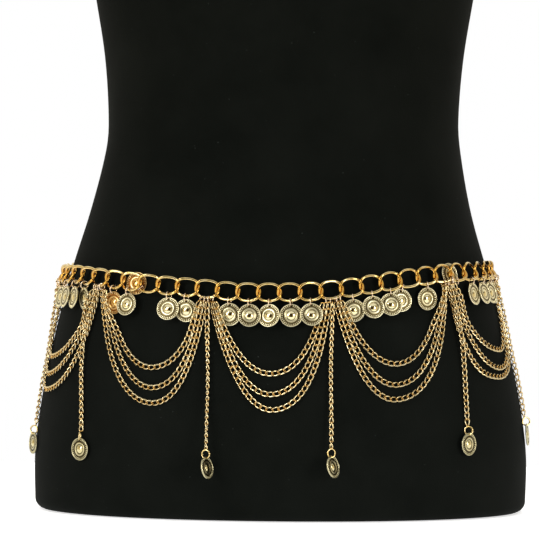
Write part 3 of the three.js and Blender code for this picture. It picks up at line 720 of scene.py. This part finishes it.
# How many degrees each chain is twisted round, at places spaced evenly along it.
SWAG_ROLLS = {"left_side": (25, 25, 10, 0, 0, 0), "left": (0, 0), "front": (0, 0), "right": (0, 0),
              "right_side": (0, 0, 0, -10, -25, -25)}
DROP_ROLLS = [(10, 25, 30), (0, 10), (0, 40, 62, 68, 68), (68, 68, 68), (0, 5), (10, 35, 40)]

for row in SWAGS:
    lay_chain(f"swag_{row[0]}_{row[1]}", *swag_path(row), SWAG_ROLLS[row[0]])
for index, row in enumerate(DROPS):
    lay_chain(row[0] + "_chain", *drop_path(row, index), DROP_ROLLS[index])

# ---------------------------------------------------------------- main chain, and the rings on its drop links

LINK_HALF = (LINK_PITCH + LINK_WIRE) / 2
LINK_PATH = oval(LINK_HALF, LOWER_WIRE, LINK_TWIST, LINK_SQUARENESS)
LINK = link_of(LINK_PATH, LINK_HALF, LINK_WIRE, 48, 12)
JUMP_RING = closed_wire(circle(RING_RADIUS), RING_WIRE, 28, 8)
BUNDLE_RING = closed_wire(circle(BUNDLE_RING_RADIUS), RING_WIRE, 28, 8)
END_RING = closed_wire(circle(END_RING_RADIUS), END_RING_WIRE, 32, 10)


def stretch(name, first, last):
    """The large links from first to last, as one piece."""
    shape = Shape()
    for index in range(first, last + 1):
        point, _, right, outward, _ = link_frame(index)
        outward = turned(outward, right, random.normal(0, LINK_LOOSENESS))
        shape.add_placed(LINK, point, right, outward, np.cross(outward, right))
    piece = shape.piece(name + "_links", GOLD)
    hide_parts(name)
    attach(piece, ROOT)


def bundle_rings(index):
    """The jump rings on a drop link's lower wire, which the swags and the drop hang from."""
    point, _, right, outward, up = link_frame(drop_link(index))
    shape = Shape()
    for spread in BUNDLE_RINGS:
        x = min(DROPS[index][1] + spread, LINK_HALF - BUNDLE_END_GAP)
        z = -LOWER_WIRE * (1 - abs(x / LINK_HALF) ** LINK_SQUARENESS) ** (1 / LINK_SQUARENESS)
        centre = point + up * (z - DROP_RING_BELOW) + right * x - outward * LINK_TWIST * x * z
        pin = turned(right, up, random.normal(0, BUNDLE_LOOSENESS))
        add_ring(shape, BUNDLE_RING, centre, pin, np.cross(pin, np.cross(up, pin)))
    piece = shape.piece(f"bundle_rings_{index + 1}", RING)
    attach(piece, ROOT)


FIRST_LINK = drop_link(0) - BACK_LINKS[0]
LAST_LINK = drop_link(len(DROPS) - 1) + BACK_LINKS[1]
STARTS = [FIRST_LINK, *(drop_link(index) for index in range(1, len(DROPS) - 1)), LAST_LINK + 1]
for place, first, after in zip(("left_back", "left", "front", "right", "right_back"), STARTS, STARTS[1:]):
    stretch("main_chain_" + place, first, after - 1)
for index in range(len(DROPS)):
    bundle_rings(index)

# ---------------------------------------------------------------- coins

# radius, how far a face stands out from the coin's plain thickness between teeth, how far on a tooth
COIN_PROFILE = [
    (0.8, 0.70, 0.70),
    (1.5, 0.54, 0.54),
    (2.1, 0.30, 0.30),
    (2.6, 0.0, 0.0),
    (2.85, -0.2, -0.2),
    (3.2, -0.2, -0.2),
    (3.45, -0.08, -0.08),
    (3.7, 0.06, 0.06),
    (4.05, 0.13, 0.13),
    (4.4, 0.07, 0.07),
    (4.65, -0.08, -0.08),
    (4.9, -0.14, -0.14),
    (5.4, -0.14, -0.14),
    (5.8, -0.28, -0.12),
    (5.95, -0.34, 0.08),
    (6.4, -0.34, 0.16),
    (6.85, -0.34, 0.08),
    (7.0, -0.28, -0.1),
    (7.15, -0.02, -0.02),
    (7.3, 0.12, 0.12),
    (7.5, 0.12, 0.12),
    (7.62, -0.02, -0.02),
    (COIN_RADIUS, -0.24, -0.24),
]
# How far the middle of the boss stands out.
BOSS_OUT = 0.76


def struck_disc():
    """A coin, face towards -y: a boss in a dish, a ring round it, a row of teeth, and a rim."""
    half = COIN_THICKNESS / 2
    turns = (np.arange(COIN_TEETH * 4) / 4 + 0.5) * 2 * math.pi / COIN_TEETH
    tooth = np.tile([0.0, 0.0, 1.0, 1.0], COIN_TEETH)
    front = []
    for radius, low, high in COIN_PROFILE:
        stand = half + low + (high - low) * tooth
        front.append(np.stack([radius * np.sin(turns), -stand, radius * np.cos(turns)], axis=1))
    back = [ring * (1, -1, 1) for ring in reversed(front)]
    return lofted(front + back, [0, -half - BOSS_OUT, 0], [0, half + BOSS_OUT, 0])


def bored(points, faces):
    """The coin with a hole at its top, and how high each place of its relief stands, from 0 to 1."""
    disc = Shape().add(points, faces).piece("coin_template", COIN)
    bore = bmesh.new()
    place = Matrix.Translation((0, 0, HOLE_ABOVE * MM)) @ Matrix.Rotation(math.pi / 2, 4, "X")
    bmesh.ops.create_cone(bore, cap_ends=True, segments=28, radius1=HOLE_RADIUS * MM,
                          radius2=HOLE_RADIUS * MM, depth=6 * MM, matrix=place)
    cutter_mesh = bpy.data.meshes.new("bore")
    bore.to_mesh(cutter_mesh)
    bore.free()
    cutter = bpy.data.objects.new("bore", cutter_mesh)
    bpy.context.scene.collection.objects.link(cutter)
    cut = disc.modifiers.new("hole", "BOOLEAN")
    cut.operation = "DIFFERENCE"
    cut.solver = "EXACT"
    cut.object = cutter
    mesh = bpy.data.meshes.new_from_object(disc.evaluated_get(bpy.context.evaluated_depsgraph_get()))
    points = np.array([v.co for v in mesh.vertices]) / MM
    faces = [np.array(p.vertices) for p in mesh.polygons]
    for obj in (disc, cutter):
        bpy.data.objects.remove(obj)

    # Height alone sets the tone, which paints shade into the low relief and highlight onto what stands up,
    # except on the boss, on the rim and in the dish round the boss.
    boss, dish_from, dish_to, rim = 2.62, 2.7, 3.6, 7.1
    stand = np.abs(points[:, 1]) - COIN_THICKNESS / 2
    radius = np.hypot(points[:, 0], points[:, 2])
    values = np.clip((stand + 0.2) / 0.3, 0, 1) * 0.62
    values = np.where(radius > rim, 0.58, values)
    values = np.where((radius > dish_from) & (radius < dish_to), np.maximum(values, 0.2), values)
    values = np.where(radius < boss, 0.9, values)
    return Shape().add(points, faces, values)


COIN_TEMPLATE = bored(*struck_disc())


def rounded(value):
    return math.copysign(abs(value) ** (2 / LINK_SQUARENESS), value)


# The coins hang from the CAD model's coarser links, so that each turns about the same wire as its hinge.
LINK_END = rounded(math.cos(math.pi / CAD_LINK_SEGMENTS))
HALF_JOINED = (LINK_PITCH + LINK_WIRE - JOINED_OVERLAP) / 2


def wire_place(index, at):
    """A place on a link's wire, at degrees round it, and the direction of the wire there."""
    origin, _, right, outward, up = link_frame(index)

    def on_wire(angle):
        x = rounded(math.cos(math.radians(angle))) / LINK_END * HALF_JOINED
        z = rounded(math.sin(math.radians(angle))) * LOWER_WIRE
        return origin + right * x - outward * (LINK_TWIST * x * z) + up * z

    step = 3
    return on_wire(at), unit(on_wire(at + step) - on_wire(at - step))


def hanging_frame(bearing, height, yaw, lean):
    """A level frame at a place on the form, turned by yaw and leaned out by lean: right, outward, up."""
    normal = form_normal(bearing, height)
    outward = unit(normal * (1, 1, 0))
    slope = math.degrees(math.atan2(normal[2], math.hypot(normal[0], normal[1])))
    level = np.array([0.0, 0.0, 1.0])
    right = turned(-np.cross(outward, level), level, -yaw)
    facing = -np.cross(level, right)
    tilt = -slope - lean
    return right, turned(facing, right, tilt), turned(level, right, tilt)


def coin_name(link):
    return f"coin_{'left' if link < 0 else 'right'}_{abs(link):02d}"


def lay_coin(name, parts, body, material, ring_material=RING):
    """A coin and its ring. parts are (coin, ring) shapes."""
    disc = parts[0].piece(name + "_disc", material, sharp=50)
    ring = parts[1].piece(name + "_ring", ring_material)
    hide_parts(name)
    for piece in (disc, ring):
        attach(piece, body)


def coin_material(link):
    return WARM_COIN if link in WARM_COINS else COIN


for link, at, yaw, lean, held in COINS:
    pivot, pin = wire_place(link, at)
    origin, bearing, _, _, _ = link_frame(link)
    right, outward, up = hanging_frame(bearing, origin[2], yaw, lean)
    ring_up = unit(up - pin * up.dot(pin))
    ring_centre = pivot - ring_up * RING_BELOW
    ring = add_ring(Shape(), JUMP_RING, ring_centre, pin, ring_up)
    middle = ring_centre - ring_up * RING_RADIUS - up * HOLE_ABOVE
    disc = Shape().add_placed(COIN_TEMPLATE, middle, right, outward, up)
    body = ROOT if held else "swinging_" + coin_name(link)
    lay_coin(coin_name(link), (disc, ring), body, coin_material(link))

for link, at, reach, lift in FLIPPED_COINS:
    pivot, pin = wire_place(link, at)
    origin, bearing, right, outward, up = link_frame(link)
    reach_in = (lift - between(BELT_LINE, bearing, 2)) / (RING_BELOW + RING_RADIUS)
    to_hole = outward * reach_in + up * math.sqrt(max(1 - reach_in ** 2, 0))
    to_hole = unit(to_hole - pin * to_hole.dot(pin))
    ring_centre = pivot + to_hole * RING_BELOW
    ring = add_ring(Shape(), JUMP_RING, ring_centre, pin, to_hole)
    away = right * math.cos(math.radians(reach)) + up * math.sin(math.radians(reach))
    middle = ring_centre + to_hole * RING_RADIUS + away * HOLE_ABOVE
    disc = Shape().add_placed(COIN_TEMPLATE, middle, np.cross(-away, outward), outward, -away)
    lay_coin(coin_name(link), (disc, ring), ROOT, coin_material(link))

# How many degrees each drop's end ring is turned round from lying flat on the form.
END_RING_YAWS = (50, 125, -14, 20, -56, -60)

for (name, _, _, _, bearing, height, lift, yaw, lean), ring_yaw in zip(DROPS, END_RING_YAWS):
    ring_centre = on_form(bearing, height, lift)
    _, flat_outward, flat_up = hanging_frame(bearing, height, 0, 0)
    right, outward, up = hanging_frame(bearing, height, yaw, lean)
    ring = add_ring(Shape(), END_RING, ring_centre, turned(flat_outward, flat_up, ring_yaw), flat_up)
    middle = ring_centre - flat_up * END_RING_RADIUS - up * HOLE_ABOVE
    disc = Shape().add_placed(COIN_TEMPLATE, middle, right, outward, up)
    lay_coin(name + "_coin", (disc, ring), f"swinging_{name}_coin", DROP_COIN, GOLD)

# ---------------------------------------------------------------- clasp


def spindle(rows, segments):
    """A turned shape along x from (x, radius) rows, closed at both ends."""
    turns = np.arange(segments) * 2 * math.pi / segments
    rings = [np.stack([0 * turns + x, r * np.cos(turns), r * np.sin(turns)], axis=1) for x, r in rows]
    return Shape().add(*lofted(rings, [rows[0][0], 0, 0], [rows[-1][0], 0, 0]))


def clasp():
    """A lobster clasp at the back, whose hoop is through one end link and whose eye is through the other."""
    hoop_length, hoop_width, wire, barrel_radius, eye_radius, eye_wire = 12.5, 9, 2.2, 1.9, 2.7, 1.3
    hoop_slimmer = 0.1
    reach_open = (LINK_PITCH + LINK_WIRE + TOUCH_GAP) / 2 - LINK_WIRE / 2 - TOUCH_GAP
    left_end = FRONT_SHIFT + LAST_LINK * LINK_PITCH + reach_open - wire
    right_end = FRONT_SHIFT + FIRST_LINK * LINK_PITCH - reach_open + eye_wire + BELT_LENGTH
    origin, _, right, outward, up = frame_along(left_end, right_end)
    reach = (right_end - left_end) / 2
    hoop_middle = -reach + hoop_length / 2
    eye_middle = reach - eye_radius - eye_wire / 2
    start = hoop_middle + hoop_length / 2 - wire / 2
    end = eye_middle - eye_radius
    middle = (start + end) / 2

    def hoop(angles):
        """The hoop's path: slimmer where it closes, towards its tip."""
        c, s = np.cos(angles), np.sin(angles)
        x = hoop_middle + (hoop_length - wire) / 2 * c
        return np.stack([x, (hoop_width - wire) / 2 * s * (1 - hoop_slimmer * c), 0 * c], axis=1)

    def eye(angles):
        c, s = np.cos(angles), np.sin(angles)
        return np.stack([eye_middle + eye_radius * c, eye_radius * s, 0 * c], axis=1)

    # Each row is a place along the barrel and the radius there.
    barrel = [
        (start - 0.9, 0.9),
        (start - 0.3, 1.5),
        (start + 0.3, barrel_radius - 0.1),
        (start + 0.6, barrel_radius),
        (middle, barrel_radius + 0.05),
        (end - 0.7, barrel_radius - 0.1),
        (end - 0.1, 1.5),
        (end + 0.4, 1.0),
    ]
    collar = [
        (middle - 0.35, barrel_radius - 0.2),
        (middle - 0.2, barrel_radius + 0.22),
        (middle + 0.2, barrel_radius + 0.22),
        (middle + 0.35, barrel_radius - 0.2),
    ]
    shape = Shape()
    for part in (closed_wire(hoop, wire, 56, 14), spindle(barrel, 24), spindle(collar, 24),
                 closed_wire(eye, eye_wire, 36, 10)):
        shape.add(*part.whole())
    # The thumb lever of the gate stands up from the hoop, beside the barrel.
    lever = spindle([(-1.5, 0.35), (-1.3, 0.62), (0, 0.72), (1.2, 0.6), (1.5, 0.3)], 14)
    tilt, level = unit(np.array([0.75, -0.66, 0.0])), [0, 0, 1.0]
    place = np.array([start - 1.2, -hoop_width / 2 + 0.9, 0])
    points, faces, _ = lever.whole()
    shape.add(place + points @ np.stack([tilt, np.cross(level, tilt), level]), faces)
    piece = Shape().add_placed(shape, origin, right, outward, up).piece("clasp", GOLD, sharp=50)
    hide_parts("lobster_clasp")
    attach(piece, ROOT)


clasp()

# ---------------------------------------------------------------- dress form


def dress_form():
    """The form's skin. Each row of points is at a height, inset from the form's surface."""
    columns, side_rows = 128, 122
    corner = [(BASE_CORNER * (1 - math.cos(math.radians(t))), BASE_CORNER * (1 - math.sin(math.radians(t))))
              for t in range(0, 90, 15)]
    sides = [(h, 0) for h in np.linspace(BASE_CORNER, NECK_TOP - 1.5, side_rows)]
    rim = [(NECK_TOP - 0.45, 0.45), (NECK_TOP, 1.5)]
    bearings = np.arange(columns) * 360 / columns - 180
    rings = [np.array([form_point(b, height, inset) for b in bearings])
             for height, inset in corner + sides + rim]
    piece = Shape().add(*lofted(rings, [0, 0, 0], [0, 0, NECK_TOP])).piece("form_cloth", CLOTH, sharp=60)
    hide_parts("dress_form")
    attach(piece, ROOT)


dress_form()

# ---------------------------------------------------------------- floor, light and surroundings


def floor():
    bpy.ops.mesh.primitive_grid_add(x_subdivisions=4, y_subdivisions=4, size=1.0, location=(0, 0, -0.0005))
    obj = bpy.context.object
    obj.name = "floor"

    def build(nodes, shader, where):
        grain = nodes.new("TexNoise", {"Vector": where, "Scale": 3.0, "Detail": 2.0})
        pale = nodes.ramp(grain.outputs["Fac"], [(0.3, 0.93), (0.7, 0.96)])
        nodes.link(pale, shader, "Base Color")
        shader.inputs["Roughness"].default_value = 0.9
        shader.inputs["Specular IOR Level"].default_value = 0.1
        shader.inputs["Emission Color"].default_value = (1, 1, 1, 1)
        shader.inputs["Emission Strength"].default_value = 0.6
    obj.data.materials.append(surface("floor", build))


floor()

# Where the lights point, in metres.
LIGHT_TARGET = Vector((0, 0, 0.15))


def softbox(name, place, size, power):
    """A flat lamp. Its place and size are in metres, and its power is in watts."""
    data = bpy.data.lights.new(name, "AREA")
    data.shape = "RECTANGLE"
    data.size, data.size_y = size
    data.energy = power
    obj = bpy.data.objects.new(name, data)
    obj.location = place
    obj.rotation_euler = (LIGHT_TARGET - Vector(place)).to_track_quat("-Z", "Y").to_euler()
    bpy.context.scene.collection.objects.link(obj)


softbox("left_softbox", (-1.6, -1.5, 0.6), (0.55, 1.0), 17)
softbox("right_softbox", (1.6, -1.5, 0.5), (0.55, 1.0), 17)
softbox("high_lamp", (-1.2, -1.9, 1.35), (0.5, 0.5), 9)


def surroundings():
    """A studio of pale, warm walls, dark in front where the camera stands. The camera itself sees white."""
    world = bpy.data.worlds.new("studio")
    bpy.context.scene.world = world
    world.use_nodes = True
    tree = world.node_tree
    nodes = Nodes(tree)
    background = tree.nodes["Background"]
    direction = nodes.new("SeparateXYZ", {"Vector": nodes.new("TexCoord").outputs["Generated"]})
    ahead = nodes.new("Math", {0: direction.outputs["Y"], 1: -1.0}, operation="MULTIPLY")
    bearing = nodes.new("Math", {0: direction.outputs["X"], 1: ahead.outputs[0]}, operation="ARCTAN2")
    aside = nodes.new("Math", {0: bearing.outputs[0]}, operation="ABSOLUTE")
    round_room = nodes.new("Math", {0: aside.outputs[0], 1: math.pi}, operation="DIVIDE")
    # The walls' colours, from straight in front of the form round to straight behind it.
    walls = nodes.ramp(round_room.outputs[0], [
        (0.0, (0.03, 0.018, 0.008)),
        (0.07, (0.04, 0.025, 0.012)),
        (0.15, (0.50, 0.41, 0.24)),
        (0.5, (0.88, 0.74, 0.50)),
        (0.75, (1.0, 0.95, 0.85)),
    ], colour=True)
    # Over the lights, the front of the room has a dark band below the bright ceiling.
    band = nodes.ramp(direction.outputs["Z"], [(0.24, 0.0), (0.34, 1.0)])
    front = nodes.ramp(round_room.outputs[0], [(0.4, 0.9), (0.62, 0.0)])
    dark = nodes.new("Math", {0: band, 1: front}, operation="MULTIPLY")
    banded = nodes.new("Mix", {"Factor": dark.outputs[0], "A": walls}, data_type="RGBA")
    banded.inputs["B"].default_value = (0.05, 0.03, 0.013, 1)
    ceiling = nodes.ramp(direction.outputs["Z"], [(0.56, 0.0), (0.68, 1.0)])
    light = nodes.new("Mix", {"Factor": ceiling, "A": banded.outputs["Result"]}, data_type="RGBA")
    light.inputs["B"].default_value = (0.95, 0.96, 0.98, 1)
    seen = nodes.new("LightPath").outputs["Is Camera Ray"]
    shown = nodes.new("Mix", {"Factor": seen, "A": light.outputs["Result"]}, data_type="RGBA")
    shown.inputs["B"].default_value = (1, 1, 1, 1)
    tree.links.new(shown.outputs["Result"], background.inputs["Color"])
    background.inputs["Strength"].default_value = 1.0


surroundings()
bpy.context.scene.view_settings.view_transform = "Standard"
